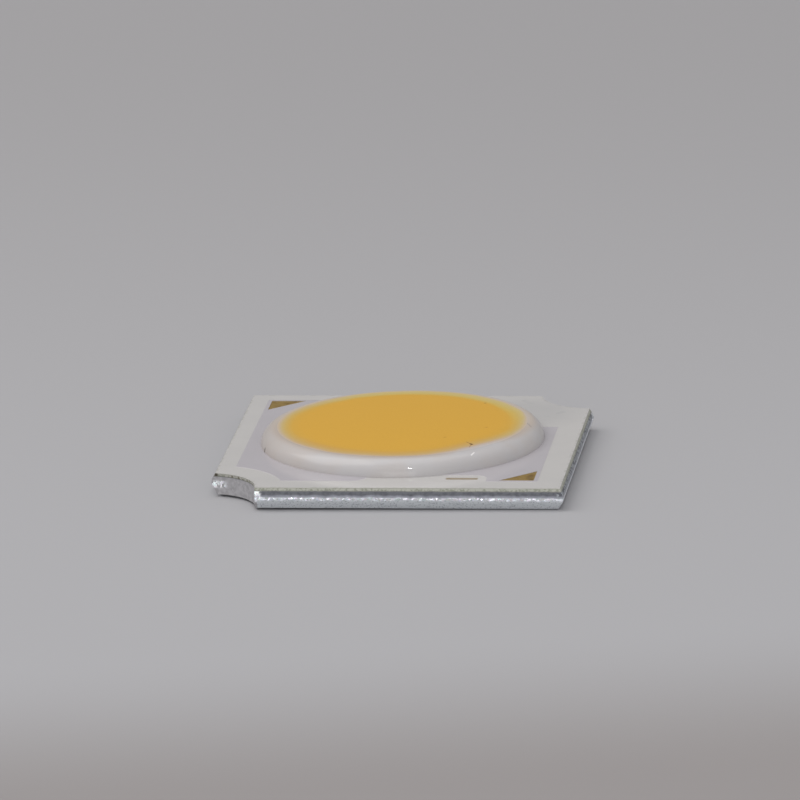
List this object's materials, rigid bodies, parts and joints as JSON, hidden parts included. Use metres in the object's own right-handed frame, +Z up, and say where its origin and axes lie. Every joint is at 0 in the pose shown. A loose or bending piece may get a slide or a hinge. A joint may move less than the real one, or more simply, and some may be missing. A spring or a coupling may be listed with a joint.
{
  "type": "led chip",
  "caption": "Flat square chip-on-board LED: scored aluminium board, white mask, silicone dam and domed yellow light area, with corner notches and solder pads.",
  "frame": {"origin": "middle of the board's underside, on the surface that it rests on", "axes": "+Z up through the light-emitting side, +X to the right along the front edge with the minus mark, +Y to the back"},
  "size_m": [0.02, 0.02, 0.0023],
  "materials": {
    "mirror_aluminium": "mirror finish on top, snapped and scored edges",
    "bonding_adhesive": "thin cured adhesive film",
    "laminate": "pale green-beige insulating laminate",
    "copper": "bare copper with a dull brown-gold surface finish",
    "solder_mask": "semi-gloss white",
    "dam_silicone": "satin white silicone",
    "phosphor_silicone": "satin yellow, phosphor in clear silicone",
    "led_die": "dark blue crystal",
    "die_glue": "clear to white die-attach glue",
    "gold_wire": "bright gold"
  },
  "bodies": {
    "root": {"base_plate": "mirror_aluminium", "bonding_film": "bonding_adhesive", "laminate": "laminate", "positive_trace": "copper", "negative_trace": "copper", "minus_mark": "copper", "plus_mark": "copper", "solder_mask": "solder_mask", "dam_ring": "dam_silicone", "phosphor_fill": "phosphor_silicone", "die_row_1": "led_die", "die_row_2": "led_die", "die_row_3": "led_die", "die_row_4": "led_die", "die_row_5": "led_die", "die_row_6": "led_die", "die_glue_row_1": "die_glue", "die_glue_row_2": "die_glue", "die_glue_row_3": "die_glue", "die_glue_row_4": "die_glue", "die_glue_row_5": "die_glue", "die_glue_row_6": "die_glue", "bond_wires_row_1": "gold_wire", "bond_wires_row_2": "gold_wire", "bond_wires_row_3": "gold_wire", "bond_wires_row_4": "gold_wire", "bond_wires_row_5": "gold_wire", "bond_wires_row_6": "gold_wire"}
  },
  "joints": []
}
